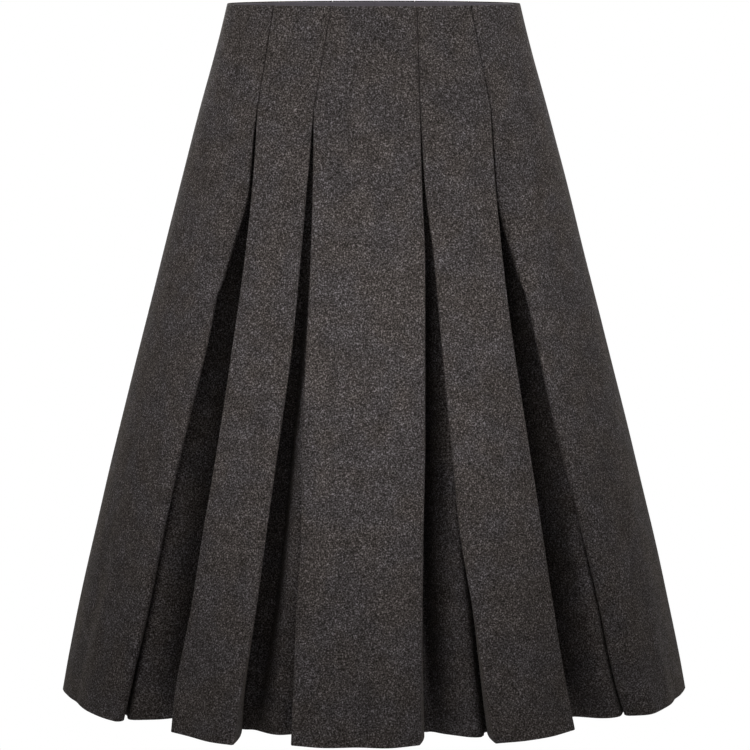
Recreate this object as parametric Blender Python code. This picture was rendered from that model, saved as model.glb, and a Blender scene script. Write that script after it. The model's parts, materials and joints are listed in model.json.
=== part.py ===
"""A long A-line skirt in felted wool, with four box pleats in front and four behind.

Metres, +Z up.  The origin is the middle of the waist opening, level with the waist edge,
and the front faces -Y.  Left and right are as seen from the front.  The skirt is filled
out and hollow: waist and hem are open.

Every place on the cloth is given by three measures: how far it lies below the waist (drop),
how far round from the centre front or centre back (along), and how far inside the smooth
oval that the skirt would fill without its pleats (depth).  The tables are in millimetres.
"""

import math

import bmesh
import bpy
import numpy as np
from mathutils import Matrix, Vector

MM = 0.001

# ---------------------------------------------------------------- driving sizes (mm)
CLOTH = 2.0                # wall of the felted wool
SEAM_GAP = 0.3             # between the edges of two pieces that are sewn together
LAYER_GAP = 0.6            # between layers of cloth that lie on each other
FOLD_ROLL = CLOTH + LAYER_GAP / 2     # outer radius of a pressed fold
PLEAT_OPENS = 120.0        # the pleats are sewn shut down to here
LAYERS_START = 40.5        # the folded layers hang from here, below the waist facing
HEM = 845.0                # straight down from the waist edge
ROW_DROPS = (0.0, LAYERS_START, PLEAT_OPENS, 200.0, 300.0, 420.0, 560.0, 700.0, HEM)

# The smooth oval that the skirt fills, from above.
OVAL = {
    "drop":       (0, 40, 130, 200, 300, 400, 500, 600, 700, 800, 845),
    "half_width": (176, 186, 211, 230, 256, 282, 308, 333, 357, 378.5, 387),
    "half_depth": (96, 103, 120, 134, 155, 177, 199, 221, 242, 261, 270),
}

# Where each panel's edge lies, measured round from the centre front (- is to the left).
# Both edges of a pleat start on one seam and part below PLEAT_OPENS.
FRONT_EDGES = {
    "drop":              (0, 120, 200, 300, 400, 500, 600, 700, 800, 845),
    "side_left_inner":   (-122, -142, -162, -186, -209, -238, -265, -290, -320, -335),
    "left_outer":        (-122, -142, -147, -158, -173, -189, -208, -226, -249, -255),
    "left_inner":        (-50, -71, -78, -87, -97, -111, -125, -138, -155, -161),
    "centre_left":       (-50, -71, -72, -75, -80, -84, -85, -91, -95, -97),
    "centre_right":      (51, 55, 57, 61, 61, 61, 59, 58, 57, 56),
    "right_inner":       (51, 55, 60, 72, 81, 91, 101, 118, 134, 143),
    "right_outer":       (118, 143, 148, 158, 172, 189, 207, 225, 246, 258),
    "side_right_inner":  (118, 143, 157, 180, 206, 233, 267, 301, 334, 357),
}

# The same for the back, measured round from the centre back seam.
BACK_EDGES = {
    "drop":              (0, 120, 200, 300, 400, 500, 600, 700, 800, 845),
    "side_left_inner":   (-120, -142, -160, -184, -208, -236, -263, -289, -317, -330),
    "left_outer":        (-120, -142, -148, -159, -173, -189, -206, -225, -246, -254),
    "left_inner":        (-51, -63, -70, -80, -90, -102, -114, -129, -146, -154),
    "centre_left":       (-51, -63, -65, -68, -71, -74, -77, -80, -83, -85),
    "centre_right":      (51, 62, 64, 66, 69, 71, 73, 75, 77, 78),
    "right_inner":       (51, 62, 69, 78, 88, 99, 112, 127, 143, 150),
    "right_outer":       (120, 142, 148, 160, 174, 191, 208, 226, 245, 253),
    "side_right_inner":  (120, 142, 159, 183, 208, 236, 264, 294, 323, 338),
}

# How each pleat edge is folded at the hem.  A band of the face beside the edge may lean in
# (lean, degrees, - leans out), the cloth rolls over at a radius, and a return of some width
# runs back to the underlay, turned from the face by an angle (180 lies flat behind it).
FOLD_COLUMNS = ("band", "lean", "roll", "width", "turn")
FRONT_FOLDS = {
    "side_left_inner":   (38, 10, 7.0, 30, 148),
    "left_outer":        (50, 12, 2.5, 49, 109),
    "left_inner":        (50, -14, 3.0, 66, 103),
    "centre_left":       (20, 0, 2.5, 56, 105),
    "centre_right":      (50, 9, 4.0, 52, 78),
    "right_inner":       (20, 0, 2.5, 47, 97),
    "right_outer":       (50, 18, 4.0, 48, 116),
    "side_right_inner":  (31, 50, 6.0, 30, 168),
}
BACK_FOLDS = {
    "side_left_inner":   (34, 14, 8.0, 44, 120),
    "left_outer":        (45, 10, 3.0, 50, 112),
    "left_inner":        (50, -8, 3.0, 58, 104),
    "centre_left":       (20, 0, 2.5, 55, 102),
    "centre_right":      (40, 8, 3.5, 52, 84),
    "right_inner":       (20, 0, 2.5, 50, 100),
    "right_outer":       (48, 15, 4.0, 50, 118),
    "side_right_inner":  (33, 30, 7.0, 46, 140),
}
RETURN_AT_TOP = 24.0       # width of a return where it starts
RETURN_AT_OPENING = 30.0   # and where its pleat opens
CREST_SOFTNESS = 5.0       # how softly a leaning band bends away from the face
OPENS_FAST = 0.6           # below 1, a pleat opens quickly at first and then more slowly
SIDE_FLAT = 9.0            # a side panel hangs this much flatter than the oval at the hem
UNDERLAY_BOW = 0.10        # an underlay bellies forward by this share of its depth

# The zip in the centre back seam.
ZIP_END = 185.0
SLIDER_DROP = 17.0         # middle of the slider
SLIT_DROPS = (9.0, 13.0, 21.0, 27.0)  # the seam parts, stands open, and is closed again
SLIT_HALF = 1.4            # half its opening, round the slider's neck
TAPE_WIDTH = 12.0
TAPE_THICKNESS = 1.0
TAPE_DEPTH = 2.6           # outer face of the tapes, inside the cloth
TAPE_PART = 1.1            # half the gap between the tapes at the slider
TAPE_MEET = 0.15

FACING_HEIGHT = 40.0
FACING_ROLLED_IN = 1.0     # its top edge is drawn down inside the waist edge
FACING_DEPTH = 2.6
FACING_THICKNESS = 1.5
FACING_COLUMNS = 24        # flat steps from the centre to a side seam
TONGUE_END = 7.5           # the back facings reach over the tops of the zip tapes

FRONT = -1                 # which side of the oval: -Y
BACK = 1

COLLECTION = "maxi_skirt"


# ---------------------------------------------------------------- the oval and its measures

def read(table, column, drop):
    """One column of a table at a drop between its rows."""
    return float(np.interp(drop, table["drop"], table[column]))


QUARTER_STEPS = 360        # straight steps that a quarter of the oval is measured in


def quarter_round(drop):
    """Angles from the centre line to the side, and the length round to each of them."""
    angles = np.linspace(0.0, math.pi / 2, QUARTER_STEPS + 1)
    middles = (angles[1:] + angles[:-1]) / 2
    half_width = read(OVAL, "half_width", drop)
    half_depth = read(OVAL, "half_depth", drop)
    steps = np.hypot(half_width * np.cos(middles), half_depth * np.sin(middles)) * angles[1]
    return angles, np.concatenate(([0.0], np.cumsum(steps)))


def quarter_length(drop):
    """Length round from the centre line to the side seam."""
    return float(quarter_round(drop)[1][-1])


def place(side, drop, along, depth):
    """The point in space for a place on the cloth, in metres."""
    angles, lengths = quarter_round(drop)
    angle = math.copysign(float(np.interp(abs(along), lengths, angles)), along)
    half_width = read(OVAL, "half_width", drop)
    half_depth = read(OVAL, "half_depth", drop)
    out = Vector((math.sin(angle) / half_width, side * math.cos(angle) / half_depth, 0.0))
    out.normalize()
    point = Vector((half_width * math.sin(angle), side * half_depth * math.cos(angle), -drop))
    return (point - out * depth) * MM


# ---------------------------------------------------------------- edges and folds

class Edge:
    """One upright edge of a panel: where it runs and how it is folded."""

    def __init__(self, side, where, fold=None, flat=0.0):
        self.side = side
        self.where = where          # function of the drop
        self.fold = fold            # a row of a fold table, or None at a plain seam
        self.flat = flat            # how much flatter than the oval its panel hangs

    def along(self, drop):
        return self.where(drop)

    def shape(self, drop):
        """Band, lean, roll, width and turn of the fold at this drop."""
        if self.fold is None:
            return {"band": 0.0, "lean": 0.0, "roll": FOLD_ROLL, "width": 0.0,
                    "turn": math.pi / 2}
        hem = dict(zip(FOLD_COLUMNS, self.fold))
        open_share = opened(drop)
        sewn_share = min(1.0, max(0.0, drop - LAYERS_START) / (PLEAT_OPENS - LAYERS_START))
        width = RETURN_AT_TOP + (RETURN_AT_OPENING - RETURN_AT_TOP) * sewn_share
        width += (hem["width"] - RETURN_AT_OPENING) * open_share
        turn = math.pi - (math.pi - math.radians(hem["turn"])) * open_share ** OPENS_FAST
        return {
            "band": hem["band"] * open_share,
            "lean": math.radians(hem["lean"]) * open_share ** 2,
            "roll": FOLD_ROLL + (hem["roll"] - FOLD_ROLL) * open_share,
            "width": width,
            "turn": turn,
        }


def pleat_edge(side, edges, folds, column, hand):
    """A pleat edge from the tables; hand is -1 at a panel's left edge and 1 at its right."""
    return Edge(side, lambda drop: read(edges, column, drop) - hand * SEAM_GAP / 2,
                folds[column])


def side_seam(side, hand):
    """The panel's edge at the side seam."""
    return Edge(side, lambda drop: hand * (quarter_length(drop) - SEAM_GAP / 2),
                flat=SIDE_FLAT)


def back_seam(hand):
    """The panel's edge at the centre back seam, which stands open round the zip slider."""
    seam = {"drop": SLIT_DROPS,
            "half": (SEAM_GAP / 2, SLIT_HALF, SLIT_HALF, SEAM_GAP / 2)}
    return Edge(BACK, lambda drop: -hand * read(seam, "half", drop))


def opened(drop):
    """How far open the pleats are: 0 down to where they are sewn, 1 at the hem."""
    return min(1.0, max(0.0, (drop - PLEAT_OPENS) / (HEM - PLEAT_OPENS)))


def lean_in(shape, inside):
    """Depth and slope of a leaning band, at a distance inside the end of the face."""
    past_crest = shape["band"] * math.cos(shape["lean"]) - inside
    reach = math.hypot(past_crest, 2 * CREST_SOFTNESS)
    rise = math.tan(shape["lean"])
    return rise * (past_crest + reach) / 2, rise * (1 + past_crest / reach) / 2


ARC_STEPS = 4
SEAM_STEPS = 2             # steps of the arc that a plain seam keeps: a quarter turn


def folded_end(edge, drop, hand):
    """The rolled edge and the return, as outer and inner points from the face outwards.

    Points are (along, depth), worked out as for a right-hand edge and then mirrored.
    """
    shape = edge.shape(drop)
    roll = shape["roll"]
    lean = shape["lean"]
    turn = shape["turn"]
    reach = roll * math.sin(min(turn, math.pi / 2))
    centre_along = hand * edge.along(drop) - reach
    centre_depth = lean_in(shape, 0.0)[0] + roll * math.cos(lean)
    steps = SEAM_STEPS if edge.fold is None else ARC_STEPS
    pairs = []
    for step in range(steps + 1):
        angle = lean + (turn - lean) * step / steps
        ray = np.array((math.sin(angle), -math.cos(angle)))
        centre = np.array((centre_along, centre_depth))
        pairs.append((centre + roll * ray, centre + (roll - CLOTH) * ray))
    if edge.fold is not None:
        back = np.array((math.cos(turn), math.sin(turn))) * shape["width"]
        outer, inner = pairs[-1]
        pairs.append((outer + back / 2, inner + back / 2))
        pairs.append((outer + back, inner + back))
    return [(outer * (hand, 1), inner * (hand, 1)) for outer, inner in pairs]


# ---------------------------------------------------------------- building cloth

def cloth_solid(name, outer, inner, has_cell, material):
    """A closed wall between two grids of points; has_cell says which cells hold cloth."""
    rows = len(outer)
    columns = len(outer[0])
    mesh = bmesh.new()
    grids = [[[None] * columns for _ in range(rows)] for _ in range(2)]

    def vertex(layer, row, column):
        if grids[layer][row][column] is None:
            point = (outer, inner)[layer][row][column]
            grids[layer][row][column] = mesh.verts.new(point)
        return grids[layer][row][column]

    def kept(row, column):
        inside = 0 <= row < rows - 1 and 0 <= column < columns - 1
        return inside and has_cell(row, column)

    for row in range(rows - 1):
        for column in range(columns - 1):
            if not kept(row, column):
                continue
            ring = ((row, column), (row, column + 1), (row + 1, column + 1), (row + 1, column))
            for half in (ring[:3], (ring[0],) + ring[2:]):     # cut alike, so they never cross
                mesh.faces.new([vertex(0, *corner) for corner in reversed(half)])
                mesh.faces.new([vertex(1, *corner) for corner in half])
            beside = ((row - 1, column), (row, column + 1), (row + 1, column),
                      (row, column - 1))
            for index, neighbour in enumerate(beside):
                if kept(*neighbour):
                    continue
                start = ring[index]
                end = ring[(index + 1) % 4]
                mesh.faces.new((vertex(0, *start), vertex(0, *end),
                                vertex(1, *end), vertex(1, *start)))
    bmesh.ops.recalc_face_normals(mesh, faces=mesh.faces)
    return finish(name, mesh, material)


def finish(name, mesh, material):
    """Turn a bmesh into a named object with its material, in the skirt's collection."""
    data = bpy.data.meshes.new(name)
    mesh.to_mesh(data)
    mesh.free()
    data.materials.append(material)
    thing = bpy.data.objects.new(name, data)
    bpy.data.collections[COLLECTION].objects.link(thing)
    return thing


def panel(name, left, right, columns, material, rows=ROW_DROPS):
    """A panel of the skirt: its face, and the returns folded behind it at the pleats."""
    shares = np.linspace(0.0, 1.0, columns + 1)[1:-1]
    outer = []
    inner = []
    for drop in rows:
        left_end = folded_end(left, drop, -1)
        right_end = folded_end(right, drop, 1)
        start = left_end[0][0][0]
        stop = right_end[0][0][0]
        flat = (left.flat + right.flat) * opened(drop) ** 2
        face = []
        for share in shares:
            along = start + (stop - start) * share
            depth_left, slope_left = lean_in(left.shape(drop), along - start)
            depth_right, slope_right = lean_in(right.shape(drop), stop - along)
            slope = math.atan(slope_right - slope_left)
            depth = depth_left + depth_right + flat * math.sin(math.pi * share)
            point = np.array((along, depth))
            normal = np.array((-math.sin(slope), math.cos(slope)))
            face.append((point, point + CLOTH * normal))
        section = left_end[::-1] + face + right_end
        outer.append([place(left.side, drop, *pair[0]) for pair in section])
        inner.append([place(left.side, drop, *pair[1]) for pair in section])

    cut_left = 0 if left.fold is None else ARC_STEPS + 2 - SEAM_STEPS
    cut_right = 0 if right.fold is None else ARC_STEPS + 2 - SEAM_STEPS
    last_cell = len(outer[0]) - 2
    sewn_rows = rows.index(LAYERS_START)

    def has_cell(row, column):
        if row >= sewn_rows:
            return True
        return cut_left <= column <= last_cell - cut_right

    return cloth_solid(name, outer, inner, has_cell, material)


UNDERLAY_COLUMNS = 4


def underlay(name, left, right, material):
    """The backing of a pleat, from one inner fold to the other, as its returns are cut.

    left is the right-hand edge of the panel on the left of the pleat, and right is the
    left-hand edge of the panel on its right.
    """
    outer = []
    inner = []
    for drop in ROW_DROPS[ROW_DROPS.index(LAYERS_START):]:
        ends = []
        for edge, hand in ((right, -1), (left, 1)):
            end_outer, end_inner = folded_end(edge, drop, hand)[-1]
            middle = (end_outer + end_inner) / 2
            ends.append((middle[0], middle[1] + CLOTH / 2 + LAYER_GAP))
        (start, start_depth), (stop, stop_depth) = ends
        face_row = []
        lining_row = []
        for column in range(UNDERLAY_COLUMNS + 1):
            share = column / UNDERLAY_COLUMNS
            depth = start_depth + (stop_depth - start_depth) * share
            depth -= UNDERLAY_BOW * (depth - 2 * FOLD_ROLL - LAYER_GAP) * 4 * share * (1 - share)
            along = start + (stop - start) * share
            face_row.append(place(left.side, drop, along, depth))
            lining_row.append(place(left.side, drop, along, depth + CLOTH))
        outer.append(face_row)
        inner.append(lining_row)
    return cloth_solid(name, outer, inner, lambda row, column: True, material)


def strip(name, side, rows, places, depth, thickness, material, has_cell=None):
    """A strip that follows the inside of the waist; places gives its columns at a drop."""
    outer = []
    inner = []
    for drop in rows:
        outer.append([place(side, drop, along, depth) for along in places(drop)])
        inner.append([place(side, drop, along, depth + thickness) for along in places(drop)])
    return cloth_solid(name, outer, inner, has_cell or (lambda row, column: True), material)


def facings(material):
    """The facing inside the waist, open at the zip but for a tongue over each tape's top."""
    rows = (FACING_ROLLED_IN, TONGUE_END, FACING_HEIGHT)
    zip_side = TAPE_PART + TAPE_WIDTH + SEAM_GAP

    def front_places(drop):
        to_side = quarter_length(drop) - SEAM_GAP / 2
        return np.linspace(-to_side, to_side, FACING_COLUMNS * 2 + 1)

    def back_places(drop):
        to_side = quarter_length(drop) - SEAM_GAP / 2
        return np.append(np.linspace(to_side, zip_side, FACING_COLUMNS + 1), SEAM_GAP / 2)

    def has_cell(row, column):
        return column < FACING_COLUMNS or row == 0

    strip("waist_facing_front", FRONT, rows, front_places, FACING_DEPTH, FACING_THICKNESS,
          material)
    strip("waist_facing_back_left", BACK, rows, lambda drop: -back_places(drop),
          FACING_DEPTH, FACING_THICKNESS, material, has_cell)
    strip("waist_facing_back_right", BACK, rows, back_places, FACING_DEPTH,
          FACING_THICKNESS, material, has_cell)


def zip_tapes(material):
    """The tapes of the zip, which part above the slider."""
    rows = (TONGUE_END + SEAM_GAP,) + SLIT_DROPS[2:] + (LAYERS_START, PLEAT_OPENS, ZIP_END)
    parting = {"drop": SLIT_DROPS[2:], "half": (TAPE_PART, TAPE_MEET)}

    def places(drop):
        return np.linspace(read(parting, "half", drop), TAPE_PART + TAPE_WIDTH, 3)

    strip("zip_tape_left", BACK, rows, lambda drop: -places(drop), TAPE_DEPTH,
          TAPE_THICKNESS, material)
    strip("zip_tape_right", BACK, rows, places, TAPE_DEPTH, TAPE_THICKNESS, material)


# ---------------------------------------------------------------- materials

def principled(name, colour, roughness, metallic=0.0):
    material = bpy.data.materials.new(name)
    material.use_nodes = True
    shader = material.node_tree.nodes["Principled BSDF"]
    shader.inputs["Base Color"].default_value = (*colour, 1.0)
    shader.inputs["Roughness"].default_value = roughness
    shader.inputs["Metallic"].default_value = metallic
    return material


# ---------------------------------------------------------------- the zip's hard pieces

SLIDER_SIZE = (7.6, 3.4, 11.0)        # across, deep, high
SLIDER_DEPTH = TAPE_DEPTH + TAPE_THICKNESS + SEAM_GAP
LUG_THICKNESS = 1.4
LUG_RADIUS = 2.2
HINGE_OUT = 2.4            # hinge axis, outside the cloth
HINGE_HOLE = 1.1           # radius of the lug's hole
BAR_RADIUS = 0.8
ARM_INSIDE = 1.2           # from the middle to an arm's inner face
ARM_THICKNESS = 1.3
ARM_LENGTH = 4.6           # down from the axis, into the tab
TAB_THICKNESS = 1.2
TAB_TOP = 5.4              # below the axis: centre of the tab's upper round end
TAB_TOP_RADIUS = 2.5
TAB_END = 18.0             # centre of its lower round end
TAB_END_RADIUS = 3.6


def block(name, size, centre, collection):
    """A box of a size in millimetres, centred on a point in millimetres."""
    mesh = bmesh.new()
    bmesh.ops.create_cube(mesh, size=1.0)
    bmesh.ops.scale(mesh, vec=Vector(size) * MM, verts=mesh.verts)
    bmesh.ops.translate(mesh, vec=Vector(centre) * MM, verts=mesh.verts)
    return bare_object(name, mesh, collection)


def rod(name, radius, length, centre, collection, segments=20):
    """A round rod along X."""
    mesh = bmesh.new()
    bmesh.ops.create_cone(mesh, cap_ends=True, segments=segments, radius1=radius * MM,
                          radius2=radius * MM, depth=length * MM)
    bmesh.ops.rotate(mesh, matrix=Matrix.Rotation(math.pi / 2, 3, "Y"), verts=mesh.verts)
    bmesh.ops.translate(mesh, vec=Vector(centre) * MM, verts=mesh.verts)
    return bare_object(name, mesh, collection)


def bare_object(name, mesh, collection):
    data = bpy.data.meshes.new(name)
    mesh.to_mesh(data)
    mesh.free()
    thing = bpy.data.objects.new(name, data)
    collection.objects.link(thing)
    return thing


def combine(target, other, operation):
    """Add or cut another shape with a Boolean; the other shape stays as a hidden guide."""
    other.parent = target
    other.hide_render = True
    other.display_type = "WIRE"
    step = target.modifiers.new(other.name, "BOOLEAN")
    step.operation = operation
    step.solver = "EXACT"
    step.object = other


def zip_slider(collection, guides, material):
    """The slider's body behind the tapes, with its neck and eye standing out of the seam."""
    across, deep, high = SLIDER_SIZE
    body_middle = -(SLIDER_DEPTH + deep / 2)
    slider = block("zip_slider", (across, deep, high), (0, body_middle, 0), collection)
    neck_deep = HINGE_OUT - body_middle
    neck = block("slider_neck", (LUG_THICKNESS, neck_deep, 2 * LUG_RADIUS),
                 (0, (HINGE_OUT + body_middle) / 2, 0), guides)
    eye = rod("slider_eye", LUG_RADIUS, LUG_THICKNESS, (0, HINGE_OUT, 0), guides)
    hole = rod("slider_eye_hole", HINGE_HOLE, 3 * LUG_THICKNESS, (0, HINGE_OUT, 0), guides)
    combine(slider, neck, "UNION")
    combine(slider, eye, "UNION")
    combine(slider, hole, "DIFFERENCE")
    slider.data.materials.append(material)
    return slider


def zip_pull(collection, guides, material):
    """The pull tab: a bar through the slider's eye, two arms and a drop-shaped tab."""
    arm_out = ARM_INSIDE + ARM_THICKNESS
    mesh = bmesh.new()
    for radius, middle in ((TAB_TOP_RADIUS, TAB_TOP), (TAB_END_RADIUS, TAB_END)):
        made = bmesh.ops.create_cone(mesh, cap_ends=True, segments=24, radius1=radius * MM,
                                     radius2=radius * MM, depth=TAB_THICKNESS * MM)
        bmesh.ops.rotate(mesh, matrix=Matrix.Rotation(math.pi / 2, 3, "X"),
                         verts=made["verts"])
        bmesh.ops.translate(mesh, vec=(0, 0, -middle * MM), verts=made["verts"])
    bmesh.ops.delete(mesh, geom=mesh.edges[:] + mesh.faces[:], context="EDGES_FACES")
    hull = bmesh.ops.convex_hull(mesh, input=mesh.verts)
    inside = [piece for piece in hull["geom_interior"] if isinstance(piece, bmesh.types.BMVert)]
    bmesh.ops.delete(mesh, geom=inside, context="VERTS")
    bmesh.ops.recalc_face_normals(mesh, faces=mesh.faces)
    pull = bare_object("zip_pull_tab", mesh, collection)
    combine(pull, rod("pull_bar", BAR_RADIUS, 2 * arm_out, (0, 0, 0), guides), "UNION")
    for hand, word in ((-1, "left"), (1, "right")):
        centre = (hand * (ARM_INSIDE + ARM_THICKNESS / 2), 0, -ARM_LENGTH / 2)
        arm = block("pull_arm_" + word, (ARM_THICKNESS, 2 * BAR_RADIUS, ARM_LENGTH), centre,
                    guides)
        combine(pull, arm, "UNION")
    pull.data.materials.append(material)
    return pull


# ---------------------------------------------------------------- the whole skirt

def clear_scene():
    for thing in list(bpy.data.objects):
        bpy.data.objects.remove(thing, do_unlink=True)


def new_collection(name):
    collection = bpy.data.collections.new(name)
    bpy.context.scene.collection.children.link(collection)
    return collection


def build():
    clear_scene()
    skirt = new_collection(COLLECTION)
    guides = new_collection("guides")
    wool = principled("felted_wool", (0.052, 0.047, 0.044), 0.92)
    facing = principled("waist_facing", (0.110, 0.098, 0.112), 0.75)
    tape = principled("zip_tape", (0.030, 0.028, 0.030), 0.80)
    metal = principled("zip_metal", (0.090, 0.088, 0.090), 0.38, 1.0)

    # The panels, and with each pair of facing edges the underlay of the pleat between them.
    for side, word, edges, folds in ((FRONT, "front", FRONT_EDGES, FRONT_FOLDS),
                                     (BACK, "back", BACK_EDGES, BACK_FOLDS)):
        def edge(column, hand):
            return pleat_edge(side, edges, folds, column, hand)

        panel("side_%s_left" % word, side_seam(side, -1), edge("side_left_inner", 1), 10, wool)
        panel("%s_left" % word, edge("left_outer", -1), edge("left_inner", 1), 5, wool)
        panel("%s_right" % word, edge("right_inner", -1), edge("right_outer", 1), 5, wool)
        panel("side_%s_right" % word, edge("side_right_inner", -1), side_seam(side, 1), 10,
              wool)
        pleats = (("outer_left", "side_left_inner", "left_outer"),
                  ("inner_left", "left_inner", "centre_left"),
                  ("inner_right", "centre_right", "right_inner"),
                  ("outer_right", "right_outer", "side_right_inner"))
        for pleat, left, right in pleats:
            underlay("underlay_%s_%s" % (word, pleat), edge(left, 1), edge(right, -1), wool)

    panel("front_centre", pleat_edge(FRONT, FRONT_EDGES, FRONT_FOLDS, "centre_left", -1),
          pleat_edge(FRONT, FRONT_EDGES, FRONT_FOLDS, "centre_right", 1), 8, wool)
    zip_rows = (0.0,) + SLIT_DROPS + ROW_DROPS[1:]
    panel("back_centre_left", pleat_edge(BACK, BACK_EDGES, BACK_FOLDS, "centre_left", -1),
          back_seam(1), 4, wool, zip_rows)
    panel("back_centre_right", back_seam(-1),
          pleat_edge(BACK, BACK_EDGES, BACK_FOLDS, "centre_right", 1), 4, wool, zip_rows)

    facings(facing)
    zip_tapes(tape)

    # The slider lies along the slope of the cloth.  The pull hangs in its eye, with the tip
    # resting against the cloth.
    seat = place(BACK, SLIDER_DROP, 0.0, 0.0)
    below = place(BACK, SLIT_DROPS[-1], 0.0, 0.0)
    slope = math.atan2(below.y - seat.y, seat.z - below.z)
    slider = zip_slider(skirt, guides, metal)
    slider.location = seat
    slider.rotation_euler = (slope, 0.0, 0.0)
    pull = zip_pull(skirt, guides, metal)
    pull.location = seat + Matrix.Rotation(slope, 3, "X") @ Vector((0, HINGE_OUT * MM, 0))
    leans = math.asin((HINGE_OUT - TAB_THICKNESS / 2 - SEAM_GAP) / (TAB_END + TAB_END_RADIUS))
    pull.rotation_euler = (slope - leans, 0.0, 0.0)


build()
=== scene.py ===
import json
import math

import bmesh
import bpy
import numpy as np
from mathutils import Matrix, Vector


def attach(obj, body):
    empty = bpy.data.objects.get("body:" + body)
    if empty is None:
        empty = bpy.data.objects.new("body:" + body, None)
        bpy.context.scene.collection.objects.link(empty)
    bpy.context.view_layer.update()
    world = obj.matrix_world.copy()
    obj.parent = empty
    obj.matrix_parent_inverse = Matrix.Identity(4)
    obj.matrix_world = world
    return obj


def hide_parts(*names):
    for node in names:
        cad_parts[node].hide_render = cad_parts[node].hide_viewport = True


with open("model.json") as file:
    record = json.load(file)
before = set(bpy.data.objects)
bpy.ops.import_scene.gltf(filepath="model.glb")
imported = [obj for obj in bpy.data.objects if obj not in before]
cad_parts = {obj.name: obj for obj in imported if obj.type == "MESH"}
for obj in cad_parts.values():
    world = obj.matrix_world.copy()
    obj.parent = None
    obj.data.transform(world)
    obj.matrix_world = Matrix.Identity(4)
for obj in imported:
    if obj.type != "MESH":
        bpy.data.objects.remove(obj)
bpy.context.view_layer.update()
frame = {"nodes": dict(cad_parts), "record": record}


# ==================================================================== front centre panel
# The middle panel of the front: charcoal melange felt, 2 mm thick, cut in one with the two
# returns that fold back behind it into the pleats. It hangs between the two inner pleats,
# which are sewn shut down to 120 mm below the waist and fall open from there.

MM = 0.001
FRONT = -1
CLOTH = 2.0                          # thickness of the felt; all sizes here are in mm
SEAM_GAP = 0.3
LAYER_GAP = 0.6
FOLD_ROLL = CLOTH + LAYER_GAP / 2    # a pressed fold
LAYERS_START = 40.5                  # the folded layers hang from below the waist facing
PLEAT_OPENS = 120.0
HEM = 845.0
EDGE_DROPS = (0, 120, 200, 300, 400, 500, 600, 700, 800, 845)
RETURN_AT_TOP = 24.0
RETURN_AT_OPENING = 30.0
CREST_SOFTNESS = 5.0
OPENS_FAST = 0.6
RETURN_BOW = 0.045                   # how far a return bellies, as a share of its width
PRESSED_END = 100.0                  # the sewn edges are pressed square down to here
PRESSED_FADE = 60.0                  # and round over within this length
HELD_BAND = 1.2                      # the band that leans in where an edge holds on to the next
HELD_SPREAD = 4.0
SWAY_STARTS = 110.0
SWAY_GROWTH = 1.4
SIDES_STEADY = 0.7                   # the cloth waves less at the sides
HANDLED = 0.10                       # small unevenness from pressing and wear
WAVY_HEM_STARTS = 660.0
FREED_WITHIN = 140.0                 # below the seam, a pleat's edges come free of it
EDGE_HELD = 22.0                     # width beside such an edge that lies flat with it
RETURN_STEPS = 9
ARC_STEPS = 8
SEAM_STEPS = 4
CELL = 4.6                           # about the size of one cell of the modelled cloth
ROW_STEP = 5.0
ROW_CLEAR = 1.2
WAIST_ROWS = (0.0, 0.5, 1.5, 3.0)    # down from the waist edge
HEM_ROWS = (2.5, 1.2, 0.4, 0.0)      # up from the hem


def smooth_line(drops, values):
    """A curve through values given down the skirt; it bends softly and never swings past them."""
    at = np.asarray(drops, float)
    value = np.asarray(values, float)
    step = np.diff(at)
    rise = np.diff(value) / step
    slope = np.concatenate((rise[:1], np.zeros(len(at) - 2), rise[-1:]))
    for i in range(1, len(at) - 1):
        if rise[i - 1] * rise[i] > 0:
            slope[i] = 2 * rise[i - 1] * rise[i] / (rise[i - 1] + rise[i])

    def curve(drop):
        x = np.clip(drop, at[0], at[-1])
        i = np.clip(np.searchsorted(at, x, side="right") - 1, 0, len(step) - 1)
        t = (x - at[i]) / step[i]
        return ((1 + 2 * t) * (1 - t) ** 2 * value[i] + t * (1 - t) ** 2 * step[i] * slope[i]
                + t * t * (3 - 2 * t) * value[i + 1] + t * t * (t - 1) * step[i] * slope[i + 1])

    return curve


# The smooth oval that the skirt fills, from above.
OVAL_DROPS = (0, 40, 130, 200, 300, 400, 500, 600, 700, 800, 845)
half_width = smooth_line(OVAL_DROPS, (176, 186, 211, 230, 256, 282, 308, 333, 357, 378.5, 387))
half_depth = smooth_line(OVAL_DROPS, (96, 103, 120, 134, 155, 177, 199, 221, 242, 261, 270))
QUARTER_STEPS = 360
ovals = {}


def oval(drop):
    """Half width and half depth at a drop, and the length round to a row of angles."""
    if drop not in ovals:
        wide = float(half_width(drop))
        deep = float(half_depth(drop))
        angles = np.linspace(0.0, math.pi / 2, QUARTER_STEPS + 1)
        middles = (angles[1:] + angles[:-1]) / 2
        steps = np.hypot(wide * np.cos(middles), deep * np.sin(middles)) * angles[1]
        ovals[drop] = (wide, deep, angles, np.concatenate(([0.0], np.cumsum(steps))))
    return ovals[drop]


def to_side_seam(drop):
    """How far it is round from the centre front or back to a side seam."""
    return float(oval(drop)[3][-1])


def sway(turn, drop):
    """How far the hanging cloth stands out from the oval: long waves that grow to the hem."""
    grows = max(0.0, (drop - SWAY_STARTS) / (HEM - SWAY_STARTS)) ** SWAY_GROWTH
    waves = (1.0 * np.sin(3 * turn + 0.7 + drop / 310) + 0.8 * np.sin(5 * turn + 2.1 - drop / 240)
             + 0.5 * np.sin(9 * turn + 0.4 + drop / 170))
    held = 1 - SIDES_STEADY * np.sin(turn) ** 2
    handled = HANDLED * (np.sin(31 * turn + drop / 23) + np.sin(-19 * turn + drop / 37 + 1)
                         + np.sin(47 * turn - drop / 51 + 2))
    return grows * waves * held + handled * min(1.0, drop / 60)


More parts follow.
